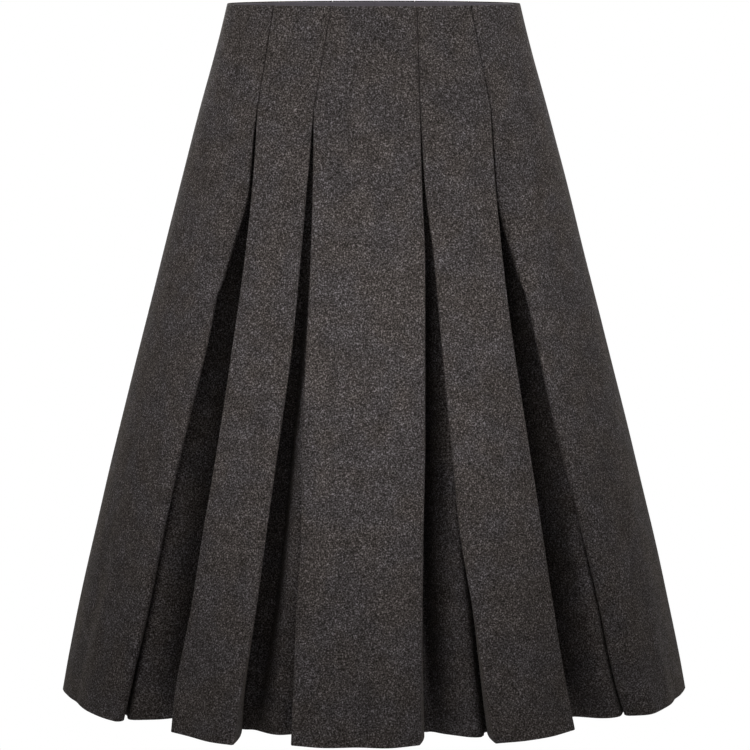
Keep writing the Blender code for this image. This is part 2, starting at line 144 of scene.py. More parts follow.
def hem_wave(turn, drop):
    """The hem isn't cut and pressed quite level."""
    near = max(0.0, (drop - WAVY_HEM_STARTS) / (HEM - WAVY_HEM_STARTS)) ** 2
    return near * (0.5 * np.sin(7 * turn + 1.0) + 0.35 * np.sin(13 * turn + 2.3)
                   + 0.25 * np.sin(23 * turn))


def place(side, drop, along, depth):
    """Points in space, in metres, for places on the cloth: how far below the waist, how far
    round from the centre front or back, and how far inside the smooth oval."""
    wide, deep, angles, lengths = oval(drop)
    angle = np.sign(along) * np.interp(np.abs(along), lengths, angles)
    turn = angle if side == FRONT else math.pi - angle
    out_x = np.sin(angle) / wide
    out_y = side * np.cos(angle) / deep
    scale = np.hypot(out_x, out_y)
    inside = depth - sway(turn, drop)
    return np.stack((wide * np.sin(angle) - out_x / scale * inside,
                     side * deep * np.cos(angle) - out_y / scale * inside,
                     -drop - hem_wave(turn, drop)), axis=-1) * MM


def opened(drop):
    """How far open the pleats are: 0 down to where they are sewn, 1 at the hem."""
    return min(1.0, max(0.0, (drop - PLEAT_OPENS) / (HEM - PLEAT_OPENS)))


def lean_in(fold, inside):
    """Depth of the band that leans in beside a fold, at distances inside the face's end."""
    past_crest = fold["band"] * math.cos(fold["lean"]) - inside
    reach = np.hypot(past_crest, 2 * CREST_SOFTNESS)
    return math.tan(fold["lean"]) * (past_crest + reach) / 2


class PanelEdge:
    """One upright edge of a panel: a fold with the return behind it, or a plain seam.

    It lies where the seam is down to the opening, and below that where falls says, at each of
    EDGE_DROPS. The other sizes are those at the hem: a band of the face beside the fold that
    leans in, the radius that the cloth rolls over, the return's width, and its turn away.
    Just below the seam the edge may still hold on to the next panel: each row of holds gives a
    drop, how far the edge reaches towards that panel, and how deep it sinks.
    """

    folded = True
    flat = 0.0

    def __init__(self, side, hand, seam, falls, band, lean, roll, width, turn, crisp=4.0,
                 holds=((0, 0, 0), (HEM, 0, 0))):
        self.side = side
        self.hand = hand                  # -1 for a panel's left edge, 1 for its right
        self.seam = seam                  # where the pleat's seam starts and ends
        self.falls = smooth_line(EDGE_DROPS[1:], (seam[1],) + falls)
        self.hem = (band, lean, roll, width, turn)
        self.crisp = crisp                # above 2, the sewn edge is pressed square
        drops, reaches, sinks = zip(*holds)
        self.reach = smooth_line(drops, reaches)
        self.sink = smooth_line(drops, sinks)
        self.relief = None                # how far the creases lift the cloth, once they are known

    def along(self, drop):
        sewn = min(1.0, drop / PLEAT_OPENS)
        line = self.seam[0] + (self.seam[1] - self.seam[0]) * sewn
        if drop > PLEAT_OPENS:
            line = float(self.falls(drop))
        return line + self.hand * (float(self.reach(drop)) - SEAM_GAP / 2)

    def fold(self, drop):
        band, lean, roll, width, turn = self.hem
        share = opened(drop)
        sewn = min(1.0, max(0.0, drop - LAYERS_START) / (PLEAT_OPENS - LAYERS_START))
        back = RETURN_AT_TOP + (RETURN_AT_OPENING - RETURN_AT_TOP) * sewn
        held = HELD_BAND * float(self.reach(drop))
        sink = math.atan2(float(self.sink(drop)), held + HELD_SPREAD)
        round_over = max(0.0, drop - PRESSED_END) / PRESSED_FADE
        return {
            "band": max(band * share, held),
            "lean": math.radians(lean) * share ** 2 + sink,
            "roll": FOLD_ROLL + (roll - FOLD_ROLL) * share,
            "width": back + (width - RETURN_AT_OPENING) * share,
            "turn": math.pi - (math.pi - math.radians(turn)) * share ** OPENS_FAST,
            "square": 2 + (self.crisp - 2) * max(0.0, 1 - round_over),
        }

    def section(self, drop):
        """Outer and inner (along, depth) of the rolled edge and the return, face first."""
        fold = self.fold(drop)
        roll, lean, turn = fold["roll"], fold["lean"], fold["turn"]
        steps = ARC_STEPS if self.folded else SEAM_STEPS
        stop = self.along(drop) * self.hand
        centre = np.array((stop - roll * math.sin(min(turn, math.pi / 2)), 0.0))
        start = self.hand * (centre[0] + roll * math.sin(lean))
        centre[1] = (lean_in(fold, 0.0) + roll * math.cos(lean)
                     - self.relief(drop, np.array([start]))[0])
        angles = np.linspace(lean, turn, steps + 1)
        rays = np.stack((np.sin(angles), -np.cos(angles)), axis=-1)
        power = fold["square"]
        square = (np.abs(rays[:, :1]) ** power + np.abs(rays[:, 1:]) ** power) ** (-1 / power)
        square[angles > math.pi / 2 + 0.01] = 1.0
        outer = centre + roll * square * rays
        inner = centre + (roll - CLOTH) * rays
        if self.folded:
            count = RETURN_STEPS
            away = np.array((math.cos(turn), math.sin(turn)))
            shares = np.arange(1, count + 1)[:, None] / count
            bow = RETURN_BOW * opened(drop) * fold["width"] * np.sin(math.pi * shares)
            back = shares * fold["width"] * away + bow * np.array((away[1], -away[0]))
            outer = np.concatenate((outer, outer[-1] + back))
            inner = np.concatenate((inner, inner[-1] + back))
        mirror = (self.hand, 1)
        return outer * mirror, inner * mirror


def crease(*rows):
    """A soft ridge, or a trough where its height is below 0, that runs down the cloth.

    Each row gives a drop, where the crease lies, its height, and its width to either side.
    """
    drops, alongs, heights, lefts, rights = zip(*rows)
    return [smooth_line(drops, values) for values in (alongs, heights, lefts, rights)]


def lift_of(creases, drop, across):
    """How far creases lift the cloth at a drop, for places across it."""
    lift = np.zeros(np.shape(across))
    for middle, height, wide_left, wide_right in creases:
        off = across - middle(drop)
        wide = np.where(off < 0, wide_left(drop), wide_right(drop))
        lift = lift + height(drop) * np.exp(-(off / wide) ** 2)
    return lift


def relief_of(creases, left, right):
    """The lift of a panel's creases; its edges lie flat where the pleats are sewn."""
    def relief(drop, along):
        lift = lift_of(creases, drop, along)
        shut = max(0.0, 1 - max(0.0, drop - PLEAT_OPENS) / FREED_WITHIN)
        near = np.minimum(np.abs(along - left.along(drop)), np.abs(along - right.along(drop)))
        return lift * (1 - shut * np.exp(-(near / EDGE_HELD) ** 2))

    return relief


def row_drops(*more):
    """The drops of a panel's rows of cells, closer together at the waist and the hem."""
    even = np.arange(ROW_STEP, HEM, ROW_STEP)
    fixed = [*WAIST_ROWS, LAYERS_START, *(HEM - up for up in HEM_ROWS), *more]
    clear = [drop for drop in even if min(abs(drop - f) for f in fixed) > ROW_CLEAR]
    return sorted(clear + fixed)


def put_in(name, data):
    """A mesh, curve, lamp or camera as an object in the scene."""
    piece = bpy.data.objects.new(name, data)
    bpy.context.scene.collection.objects.link(piece)
    return piece


RIM = ((0.10, 0.22), (0.32, 0.42), (0.68, 0.42), (0.90, 0.22))    # a cut edge, in thicknesses


def wall(name, outer, inner, kept, material, rim=RIM):
    """A closed wall between two grids of points, with a softly rounded edge all round."""
    rows, columns = outer.shape[:2]
    points = [outer.reshape(-1, 3), inner.reshape(-1, 3)]
    number = np.arange(rows * columns).reshape(rows, columns)
    row, column = np.nonzero(kept)
    corners = np.stack((number[row, column], number[row, column + 1],
                        number[row + 1, column + 1], number[row + 1, column]), axis=1)
    behind = rows * columns
    faces = corners[:, ::-1].tolist() + (corners + behind).tolist()

    # The edge: where a kept cell has no kept neighbour, a few narrow faces go round it.
    padded = np.pad(kept, 1)
    outwards = {}
    edges = []
    beside = ((-1, 0), (0, 1), (1, 0), (0, -1))
    for side, (down, across) in enumerate(beside):
        alone = kept & ~padded[1 + down:1 + down + rows - 1, 1 + across:1 + across + columns - 1]
        for r, c in zip(*np.nonzero(alone)):
            ring = (r, c), (r, c + 1), (r + 1, c + 1), (r + 1, c)
            start, end = ring[side], ring[(side + 1) % 4]
            far_start, far_end = ring[(side - 1) % 4], ring[(side + 2) % 4]
            for near, far in ((start, far_start), (end, far_end)):
                away = (outer[near] + inner[near] - outer[far] - inner[far])
                outwards[near] = outwards.get(near, 0) + away / np.linalg.norm(away)
            edges.append((start, end))
    count = 2 * behind
    chains = {}
    extra = []
    for spot, away in outwards.items():
        through = inner[spot] - outer[spot]
        thick = np.linalg.norm(through)
        away = away - through * np.dot(away, through) / thick ** 2
        away = away / np.linalg.norm(away) * thick
        extra += [outer[spot] + through * share + away * bulge for share, bulge in rim]
        flat = int(number[spot])
        chains[spot] = [flat] + list(range(count, count + len(rim))) + [flat + behind]
        count += len(rim)
    for start, end in edges:
        one, other = chains[start], chains[end]
        for i in range(len(rim) + 1):
            faces.append([one[i], other[i], other[i + 1], one[i + 1]])
    if extra:
        points.append(np.array(extra))

    mesh = bpy.data.meshes.new(name)
    mesh.from_pydata(np.concatenate(points).tolist(), [], faces)
    form = bmesh.new()
    form.from_mesh(mesh)
    bmesh.ops.delete(form, geom=[v for v in form.verts if not v.link_faces], context="VERTS")
    if form.calc_volume(signed=True) < 0:
        bmesh.ops.reverse_faces(form, faces=form.faces)
    form.to_mesh(mesh)
    form.free()
    mesh.shade_smooth()
    mesh.materials.append(material)
    return put_in(name, mesh)


def lining_of(along, depth):
    """The inner face of the cloth, its thickness away from the outer face and square to it."""
    slope = np.gradient(depth, along)
    normal = np.stack((-slope, np.ones_like(slope)), axis=-1)
    normal /= np.linalg.norm(normal, axis=1)[:, None]
    return np.stack((along, depth), axis=-1) + CLOTH * normal


def every_cell(outer):
    """All cells of a grid of points, to keep or to leave out."""
    return np.ones((outer.shape[0] - 1, outer.shape[1] - 1), bool)


def hang_panel(name, node, left, right, creases, drops=None):
    """A panel of the skirt: its face, and the returns folded behind it at the pleats."""
    drops = row_drops() if drops is None else drops
    left.relief = right.relief = relief_of(creases, left, right)
    wide = right.along(HEM) - left.along(HEM)
    shares = np.linspace(0.0, 1.0, int(wide / CELL) + 1)[1:-1]
    outer, inner = [], []
    for drop in drops:
        left_outer, left_inner = left.section(drop)
        right_outer, right_inner = right.section(drop)
        start, stop = left_outer[0], right_outer[0]
        along = start[0] + (stop[0] - start[0]) * np.concatenate(([0.0], shares, [1.0]))
        flat = (left.flat + right.flat) * opened(drop) ** 2
        depth = (lean_in(left.fold(drop), along - start[0])
                 + lean_in(right.fold(drop), stop[0] - along)
                 + flat * np.sin(math.pi * np.concatenate(([0.0], shares, [1.0])))
                 - left.relief(drop, along))
        face = np.stack((along, depth), axis=-1)
        lining = lining_of(along, depth)
        row_outer = np.concatenate((left_outer[::-1], face[1:-1], right_outer))
        row_inner = np.concatenate((left_inner[::-1], lining[1:-1], right_inner))
        outer.append(place(left.side, drop, row_outer[:, 0], row_outer[:, 1]))
        inner.append(place(left.side, drop, row_inner[:, 0], row_inner[:, 1]))
    outer, inner = np.array(outer), np.array(inner)
    kept = every_cell(outer)
    above = drops.index(LAYERS_START)
    behind = ARC_STEPS // 2 + RETURN_STEPS
    if left.folded:
        kept[:above, :behind] = False
    if right.folded:
        kept[:above, -behind:] = False
    dress(name, node, outer, inner, kept, felt)


def dress(name, node, outer, inner, kept, material, rim=RIM):
    """Makes a piece of cloth in its finish, hangs it on the skirt's body and hides the part it
    replaces.
    """
    piece = wall(name, outer, inner, kept, material, rim)
    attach(piece, "skirt")
    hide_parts(node)


def node_group(name, inputs, outputs):
    """An empty shader group with named sockets, and its input and output nodes."""
    group = bpy.data.node_groups.new(name, "ShaderNodeTree")
    for label, kind, value in inputs:
        socket = group.interface.new_socket(label, in_out="INPUT", socket_type="NodeSocket" + kind)
        if value is not None:
            socket.default_value = value
    for label, kind in outputs:
        group.interface.new_socket(label, in_out="OUTPUT", socket_type="NodeSocket" + kind)
    return group, group.nodes.new("NodeGroupInput"), group.nodes.new("NodeGroupOutput")


def maths(tree, operation, *values):
    """A Math node; each value is a number or a socket."""
    node = tree.nodes.new("ShaderNodeMath")
    node.operation = operation
    for socket, value in zip(node.inputs, values):
        if isinstance(value, (int, float)):
            socket.default_value = value
        else:
            tree.links.new(value, socket)
    return node.outputs[0]


def noise(tree, vector, scale, detail=2.0, roughness=0.5):
    """A noise texture; the scale is a number or a socket, in cells to the metre."""
    node = tree.nodes.new("ShaderNodeTexNoise")
    node.inputs["Detail"].default_value = detail
    node.inputs["Roughness"].default_value = roughness
    if isinstance(scale, (int, float)):
        node.inputs["Scale"].default_value = scale
    else:
        tree.links.new(scale, node.inputs["Scale"])
    tree.links.new(vector, node.inputs["Vector"])
    return node.outputs["Fac"]


def tinted(tree, amount, one, other):
    """A colour mixed from two by an amount between 0 and 1."""
    node = tree.nodes.new("ShaderNodeMix")
    node.data_type = "RGBA"
    tree.links.new(amount, node.inputs["Factor"])
    for socket, colour in ((node.inputs["A"], one), (node.inputs["B"], other)):
        if isinstance(colour, tuple):
            socket.default_value = (*colour, 1.0)
        else:
            tree.links.new(colour, socket)
    return node


FIBRES_IN_FLECK = 2.7                # how much finer than the flecks the fibres are
CLOUDS_PER_METRE = 42.0
PATCHES_PER_METRE = 22.0
PATCH_CONTRAST = 5.0
BRIGHTEST = 1.6                      # where a light fleck and a light fibre meet
FLECK_HEIGHT = 0.6
NAP_DRYNESS = 0.82
NAP_DRYNESS_SPREAD = 0.16


def melange_group():
    """Light and dark fibres felted together: flecks of a few fibres, and finer ones in them."""
    group, given, made = node_group(
        "melange", (("Cool", "Color", (0.05, 0.05, 0.05, 1)), ("Warm", "Color", (0.05, 0.05, 0.05, 1)),
                    ("Flecks per metre", "Float", 500.0), ("Fleck contrast", "Float", 3.0),
                    ("Fibre contrast", "Float", 2.0), ("Cloud contrast", "Float", 1.0)),
        (("Colour", "Color"), ("Height", "Float"), ("Dryness", "Float")))
    spot = group.nodes.new("ShaderNodeTexCoord").outputs["Object"]
    fleck = noise(group, spot, given.outputs["Flecks per metre"], 0.0)
    fine = maths(group, "MULTIPLY", given.outputs["Flecks per metre"], FIBRES_IN_FLECK)
    fibre = noise(group, spot, fine, 2.0, 0.6)
    cloud = noise(group, spot, CLOUDS_PER_METRE, 3.0, 0.6)
    patch = noise(group, spot, PATCHES_PER_METRE, 2.0, 0.5)

    def swing(value, strength):
        return maths(group, "MULTIPLY", maths(group, "SUBTRACT", value, 0.5), strength)

    total = maths(group, "ADD", swing(fleck, given.outputs["Fleck contrast"]),
                  swing(fibre, given.outputs["Fibre contrast"]))
    total = maths(group, "ADD", total, swing(cloud, given.outputs["Cloud contrast"]))
    warmth = maths(group, "ADD", swing(patch, PATCH_CONTRAST), 0.5)
    warmth.node.use_clamp = True
    base = tinted(group, warmth, given.outputs["Cool"], given.outputs["Warm"])
    grey = group.nodes.new("ShaderNodeCombineColor")
    for socket, share in zip(grey.inputs, (1.0, 1.03, 1.09)):   # light fibres are the whiter
        power = maths(group, "MULTIPLY", maths(group, "MINIMUM", total, BRIGHTEST), share)
        group.links.new(maths(group, "EXPONENT", power), socket)
    out = group.nodes.new("ShaderNodeMix")
    out.data_type = "RGBA"
    out.blend_type = "MULTIPLY"
    out.inputs["Factor"].default_value = 1.0
    group.links.new(base.outputs["Result"], out.inputs["A"])
    group.links.new(grey.outputs["Color"], out.inputs["B"])
    group.links.new(out.outputs["Result"], made.inputs["Colour"])
    height = maths(group, "ADD", maths(group, "MULTIPLY", fleck, FLECK_HEIGHT),
                   maths(group, "MULTIPLY", fibre, 1 - FLECK_HEIGHT))
    group.links.new(height, made.inputs["Height"])
    dry = maths(group, "ADD", maths(group, "MULTIPLY", fibre, NAP_DRYNESS_SPREAD), NAP_DRYNESS)
    group.links.new(dry, made.inputs["Dryness"])
    return group


def finish(name):
    """A material with its node tree and its Principled shader."""
    material = bpy.data.materials.new(name)
    material.use_nodes = True
    return material, material.node_tree, material.node_tree.nodes["Principled BSDF"]


def bump(tree, height, distance, strength, shader):
    """Raises the surface by a height between 0 and 1; the distance is in metres."""
    node = tree.nodes.new("ShaderNodeBump")
    node.inputs["Distance"].default_value = distance
    node.inputs["Strength"].default_value = strength
    tree.links.new(height, node.inputs["Height"])
    tree.links.new(node.outputs["Normal"], shader.inputs["Normal"])


def lay_cloth(tree, shader, group, values, raised, strength):
    """Lays a cloth's group into a material: its own values, its colour, dryness and bumps."""
    cloth = tree.nodes.new("ShaderNodeGroup")
    cloth.node_tree = group
    for label, value in values.items():
        cloth.inputs[label].default_value = value
    tree.links.new(cloth.outputs["Colour"], shader.inputs["Base Color"])
    tree.links.new(cloth.outputs["Dryness"], shader.inputs["Roughness"])
    bump(tree, cloth.outputs["Height"], raised, strength, shader)


melange = melange_group()


def felted_wool():
    """Charcoal felt: dark grey and near-white fibres, a dry raised nap, hardly any gloss."""
    material, tree, shader = finish("felted_wool")
    lay_cloth(tree, shader, melange, {
        "Cool": (0.0506, 0.0445, 0.0440, 1), "Warm": (0.0522, 0.0443, 0.0408, 1),
        "Flecks per metre": 600.0, "Fleck contrast": 4.0, "Fibre contrast": 3.4,
        "Cloud contrast": 0.9}, 0.0006, 0.5)
    shader.inputs["Specular IOR Level"].default_value = 0.12
    shader.inputs["Sheen Weight"].default_value = 0.03
    shader.inputs["Sheen Roughness"].default_value = 0.5
    shader.inputs["Sheen Tint"].default_value = (0.95, 0.80, 0.58, 1)
    return material


felt = felted_wool()

centre_left = PanelEdge(FRONT, -1, (-50, -71), (-72, -75, -80, -84, -85, -91, -95, -97),
                        band=20, lean=0, roll=2.5, width=56, turn=105, crisp=8.0)
centre_right = PanelEdge(FRONT, 1, (51, 55), (57, 61, 61, 61, 59, 58, 57, 56),
                         band=50, lean=9, roll=4.0, width=52, turn=78, crisp=2.0)
front_centre_creases = (
    crease((110, -40, 0.0, 16, 18), (230, -44, 1.0, 17, 20), (420, -46, 1.9, 19, 22),
           (640, -53, 3.0, 22, 24), (HEM, -57, 4.2, 24, 24)),
    crease((90, 34, 0.0, 14, 14), (220, 34, 0.9, 15, 13), (430, 30, 1.5, 18, 16),
           (660, 24, 2.2, 20, 19), (HEM, 20, 3.6, 22, 22)),
    crease((150, -4, 0.0, 16, 17), (330, -5, -0.9, 17, 18), (600, -11, -0.9, 18, 17),
           (HEM, -17, -1.3, 17, 17)),
    crease((520, -22, 0.0, 9, 8), (610, -27, 0.5, 9, 8), (700, -29, 0.0, 9, 8)),
)
hang_panel("panel_front_centre", "front_centre", centre_left, centre_right, front_centre_creases)


# ==================================================================== front side panels
# The two narrower panels that stand on either side of the centre panel, each between an
# inner and an outer pleat. Both flare to the hem and stand out in soft waves.

left_outer = PanelEdge(FRONT, -1, (-122, -142), (-147, -158, -173, -189, -208, -226, -249, -255),
                       band=50, lean=12, roll=2.5, width=49, turn=109, crisp=3.0)
left_inner = PanelEdge(FRONT, 1, (-50, -71), (-78, -87, -97, -111, -125, -138, -155, -161),
                       band=50, lean=-14, roll=3.0, width=66, turn=103, crisp=8.0)
front_left_creases = (
    crease((170, -108, 0.0, 14, 16), (320, -122, 0.8, 16, 18), (560, -152, 1.5, 20, 22),
           (HEM, -196, 2.2, 24, 24)),
    crease((430, -148, 0.0, 8, 8), (540, -166, 0.5, 9, 8), (690, -186, -0.5, 9, 8),
           (800, -212, 0.0, 8, 8)),
)
hang_panel("panel_front_left", "front_left", left_outer, left_inner, front_left_creases)

right_inner = PanelEdge(FRONT, -1, (51, 55), (60, 72, 81, 91, 101, 118, 134, 143),
                        band=20, lean=0, roll=2.5, width=47, turn=97, crisp=2.0)
right_outer = PanelEdge(FRONT, 1, (118, 143), (148, 158, 172, 189, 207, 225, 246, 258),
                        band=50, lean=18, roll=4.0, width=48, turn=116, crisp=3.0)
front_right_creases = (
    crease((160, 96, 0.0, 14, 14), (330, 108, 0.8, 16, 16), (560, 134, 1.6, 18, 20),
           (HEM, 176, 2.4, 22, 24)),
    crease((480, 158, 0.0, 8, 9), (600, 172, -0.6, 8, 9), (760, 204, 0.4, 9, 9),
           (HEM, 220, 0.6, 9, 9)),
)
hang_panel("panel_front_right", "front_right", right_inner, right_outer, front_right_creases)


# ==================================================================== side fronts and side backs
# The panels that go round the sides, from the outermost pleats to the side seams. They are
# wider than the others and hang flatter than the oval, and each turns in at its pleat.

BACK = 1
SEWN_GAP = 0.02                      # at a plain seam, and added behind a return's rounded end
SIDE_FLAT = 9.0                      # how much flatter than the oval a side hangs at the hem


class SeamEdge(PanelEdge):
    """A panel's edge at a plain seam: the cloth turns in, with no return to be seen."""

    folded = False

    def __init__(self, side, hand, where, flat=0.0, crisp=5.0):
        self.side = side
        self.hand = hand
        self.where = where
        self.flat = flat
        self.hem = (0.0, 0.0, FOLD_ROLL, 0.0, 90.0)
        self.crisp = crisp
        self.relief = None                # how far the creases lift the cloth, once they are known

    def along(self, drop):
        return self.where(drop)

    def fold(self, drop):
        return {"band": 0.0, "lean": 0.0, "roll": FOLD_ROLL, "width": 0.0,
                "turn": math.pi / 2, "square": self.crisp}


def side_seam(side, hand):
    """The edge of a side panel at its side seam."""
    return SeamEdge(side, hand, lambda drop: hand * (to_side_seam(drop) - SEWN_GAP / 2),
                    SIDE_FLAT)


side_left_inner = PanelEdge(FRONT, 1, (-122, -142),
                            (-162, -186, -209, -238, -265, -290, -320, -335),
                            band=38, lean=10, roll=7.0, width=30, turn=148, crisp=3.0,
                            holds=((120, 0, 0), (150, 3, 0.5), (190, 9, 3), (222, 12, 7),
                                   (255, 9, 11), (290, 4, 8), (335, 0, 0)))
side_front_left_creases = (
    crease((180, -186, 0.0, 10, 10), (300, -216, 0.9, 12, 11), (430, -252, 1.0, 13, 10),
           (560, -282, 0.4, 13, 9), (640, -300, 0.0, 13, 9)),
    crease((430, -296, 0.0, 16, 16), (600, -340, 1.2, 18, 18), (HEM, -410, 2.4, 24, 22)),
    crease((520, -330, 0.0, 12, 12), (680, -384, -0.9, 14, 13), (HEM, -446, -1.2, 16, 14)),
)
hang_panel("panel_side_front_left", "side_front_left", side_seam(FRONT, -1), side_left_inner,
           side_front_left_creases)

side_right_inner = PanelEdge(FRONT, -1, (118, 143), (157, 180, 206, 233, 267, 301, 334, 357),
                             band=31, lean=50, roll=6.0, width=30, turn=168, crisp=3.0,
                             holds=((120, 0, 0), (150, 2, 0.3), (190, 6, 2.5), (228, 9.5, 6),
                                    (258, 8, 10), (295, 4, 8), (335, 0, 0)))
side_front_right_creases = (
    crease((200, 190, 0.0, 10, 14), (330, 224, 0.8, 10, 15), (470, 256, 0.8, 10, 16),
           (600, 292, 0.0, 10, 16)),
    crease((420, 300, 0.0, 16, 16), (620, 366, 1.4, 18, 20), (HEM, 432, 2.6, 22, 24)),
    crease((560, 340, 0.0, 10, 12), (720, 396, -0.8, 12, 12), (HEM, 466, -1.0, 14, 14)),
)
hang_panel("panel_side_front_right", "side_front_right", side_right_inner, side_seam(FRONT, 1),
           side_front_right_creases)

back_side_left_inner = PanelEdge(BACK, 1, (-120, -142),
                                 (-160, -184, -208, -236, -263, -289, -317, -330),
                                 band=34, lean=14, roll=8.0, width=44, turn=120,
                                 holds=((120, 0, 0), (155, 4, 0.5), (200, 9.5, 4), (235, 9, 8),
                                        (275, 4, 8), (315, 0, 0)))
side_back_left_creases = (
    crease((210, -200, 0.0, 12, 11), (380, -246, 1.0, 14, 11), (560, -292, 0.8, 14, 10),
           (700, -330, 0.0, 14, 10)),
    crease((380, -296, 0.0, 16, 17), (600, -352, 1.6, 20, 19), (HEM, -424, 3.0, 24, 24)),
    crease((600, -384, 0.0, 12, 12), (740, -430, -1.0, 14, 14), (HEM, -466, -1.4, 14, 15)),
)
hang_panel("panel_side_back_left", "side_back_left", side_seam(BACK, -1), back_side_left_inner,
           side_back_left_creases)

back_side_right_inner = PanelEdge(BACK, -1, (120, 142), (159, 183, 208, 236, 264, 294, 323, 338),
                                  band=33, lean=30, roll=7.0, width=46, turn=140,
                                  holds=((120, 0, 0), (150, 2.5, 0.3), (195, 8, 3), (230, 8, 7),
                                         (270, 4, 8), (310, 0, 0)))
side_back_right_creases = (
    crease((190, 190, 0.0, 11, 12), (350, 232, 0.9, 11, 14), (520, 278, 0.9, 10, 14),
           (640, 312, 0.0, 10, 14)),
    crease((400, 290, 0.0, 16, 16), (620, 350, 1.3, 18, 20), (HEM, 410, 2.3, 22, 24)),
    crease((500, 350, 0.0, 13, 12), (690, 402, -1.1, 14, 13), (HEM, 456, -1.2, 15, 15)),
)
hang_panel("panel_side_back_right", "side_back_right", back_side_right_inner, side_seam(BACK, 1),
           side_back_right_creases)


# ==================================================================== back panels
# Behind, the skirt is pleated as in front: a panel on each side of the centre, between an
# inner and an outer pleat.

back_left_outer = PanelEdge(BACK, -1, (-120, -142),
                            (-148, -159, -173, -189, -206, -225, -246, -254),
                            band=45, lean=10, roll=3.0, width=50, turn=112)
back_left_inner = PanelEdge(BACK, 1, (-51, -63), (-70, -80, -90, -102, -114, -129, -146, -154),
                            band=50, lean=-8, roll=3.0, width=58, turn=104)
back_left_creases = (
    crease((150, -100, 0.0, 14, 15), (340, -122, 1.0, 16, 17), (600, -160, 1.8, 20, 20),
           (HEM, -202, 2.6, 24, 22)),
    crease((460, -136, 0.0, 8, 9), (580, -146, -0.6, 9, 9), (740, -176, 0.4, 9, 9),
           (HEM, -184, 0.3, 9, 9)),
)
hang_panel("panel_back_left", "back_left", back_left_outer, back_left_inner, back_left_creases)

back_right_inner = PanelEdge(BACK, -1, (51, 62), (69, 78, 88, 99, 112, 127, 143, 150),
                             band=20, lean=0, roll=2.5, width=50, turn=100)
back_right_outer = PanelEdge(BACK, 1, (120, 142), (148, 160, 174, 191, 208, 226, 245, 253),
                             band=48, lean=15, roll=4.0, width=50, turn=118)
back_right_creases = (
    crease((190, 98, 0.0, 14, 14), (360, 116, 0.9, 16, 16), (590, 148, 1.7, 18, 20),
           (HEM, 190, 2.6, 22, 24)),
    crease((420, 156, 0.0, 9, 8), (560, 172, -0.6, 9, 8), (720, 200, 0.4, 9, 9),
           (820, 216, 0.0, 9, 9)),
)
hang_panel("panel_back_right", "back_right", back_right_inner, back_right_outer,
           back_right_creases)


# ==================================================================== centre back
# The centre back is in two halves, joined by a seam that holds the concealed zip. Just below
# the waist the seam stands open a little, where the slider's neck comes through it.

SLIT_DROPS = (9.0, 13.0, 21.0, 27.0)  # the seam parts, stands open, and is closed again
SLIT_HALF = 1.4
seam_half = smooth_line(SLIT_DROPS, (SEWN_GAP / 2, SLIT_HALF, SLIT_HALF, SEWN_GAP / 2))


def back_seam(hand):
    """The edge of a centre back half at the seam with the zip."""
    return SeamEdge(BACK, hand, lambda drop: -hand * float(seam_half(drop)), crisp=3.0)


back_centre_left_fold = PanelEdge(BACK, -1, (-51, -63), (-65, -68, -71, -74, -77, -80, -83, -85),
                                  band=20, lean=0, roll=2.5, width=55, turn=102)
back_centre_left_creases = (
    crease((200, -36, 0.0, 13, 13), (420, -40, 1.1, 15, 15), (660, -44, 2.0, 18, 17),
           (HEM, -48, 3.2, 20, 19)),
    crease((560, -16, 0.0, 9, 9), (700, -18, -0.7, 9, 9), (HEM, -17, -0.9, 10, 10)),
)
hang_panel("panel_back_centre_left", "back_centre_left", back_centre_left_fold, back_seam(1),
           back_centre_left_creases, row_drops(*SLIT_DROPS))

back_centre_right_fold = PanelEdge(BACK, 1, (51, 62), (64, 66, 69, 71, 73, 75, 77, 78),
                                   band=40, lean=8, roll=3.5, width=52, turn=84)
back_centre_right_creases = (
    crease((240, 30, 0.0, 12, 12), (460, 32, 0.9, 14, 13), (680, 34, 1.8, 17, 16),
           (HEM, 36, 2.8, 18, 18)),
)
hang_panel("panel_back_centre_right", "back_centre_right", back_seam(-1), back_centre_right_fold,
           back_centre_right_creases, row_drops(*SLIT_DROPS))


# ==================================================================== pleat underlays
# A strip of the same felt backs each pleat, sewn to the returns on both sides. It hangs flat
# behind the folds where the pleat is sewn, and where the pleat falls open it shows: deep in
# the shadow at first, then nearly level with the panels at the hem.

UNDERLAY_BOW = 0.10                  # how far it bellies out, as a share of its depth
ENDS_FIRM = 0.25                     # near 0, a crease keeps its height close to the seams


def hang_underlay(name, node, left, right, creases):
    """The backing between the return of the panel on its left and that of the one on its right."""
    drops = [drop for drop in row_drops() if drop >= LAYERS_START]
    wide = 0.0
    ends = []
    for drop in drops:
        row = []
        for edge in (left, right):
            end_outer, end_inner = (points[-1] for points in edge.section(drop))
            rounding = RIM[1][1] * CLOTH * math.sin(edge.fold(drop)["turn"])
            row.append(((end_outer[0] + end_inner[0]) / 2,
                        max(end_outer[1], end_inner[1]) + rounding + SEWN_GAP))
        ends.append(row)
        wide = max(wide, row[1][0] - row[0][0])
    shares = np.linspace(0.0, 1.0, int(wide / CELL) + 1)
    outer, inner = [], []
    for drop, ((start, start_depth), (stop, stop_depth)) in zip(drops, ends):
        along = start + (stop - start) * shares
        depth = start_depth + (stop_depth - start_depth) * shares
        depth = depth - (UNDERLAY_BOW * (depth - 2 * FOLD_ROLL - LAYER_GAP)
                         * 4 * shares * (1 - shares))
        depth = depth - lift_of(creases, drop, shares) * np.sin(math.pi * shares) ** ENDS_FIRM
        lining = lining_of(along, depth)
        outer.append(place(left.side, drop, along, depth))
        inner.append(place(left.side, drop, lining[:, 0], lining[:, 1]))
    outer, inner = np.array(outer), np.array(inner)
    dress(name, node, outer, inner, every_cell(outer), felt)


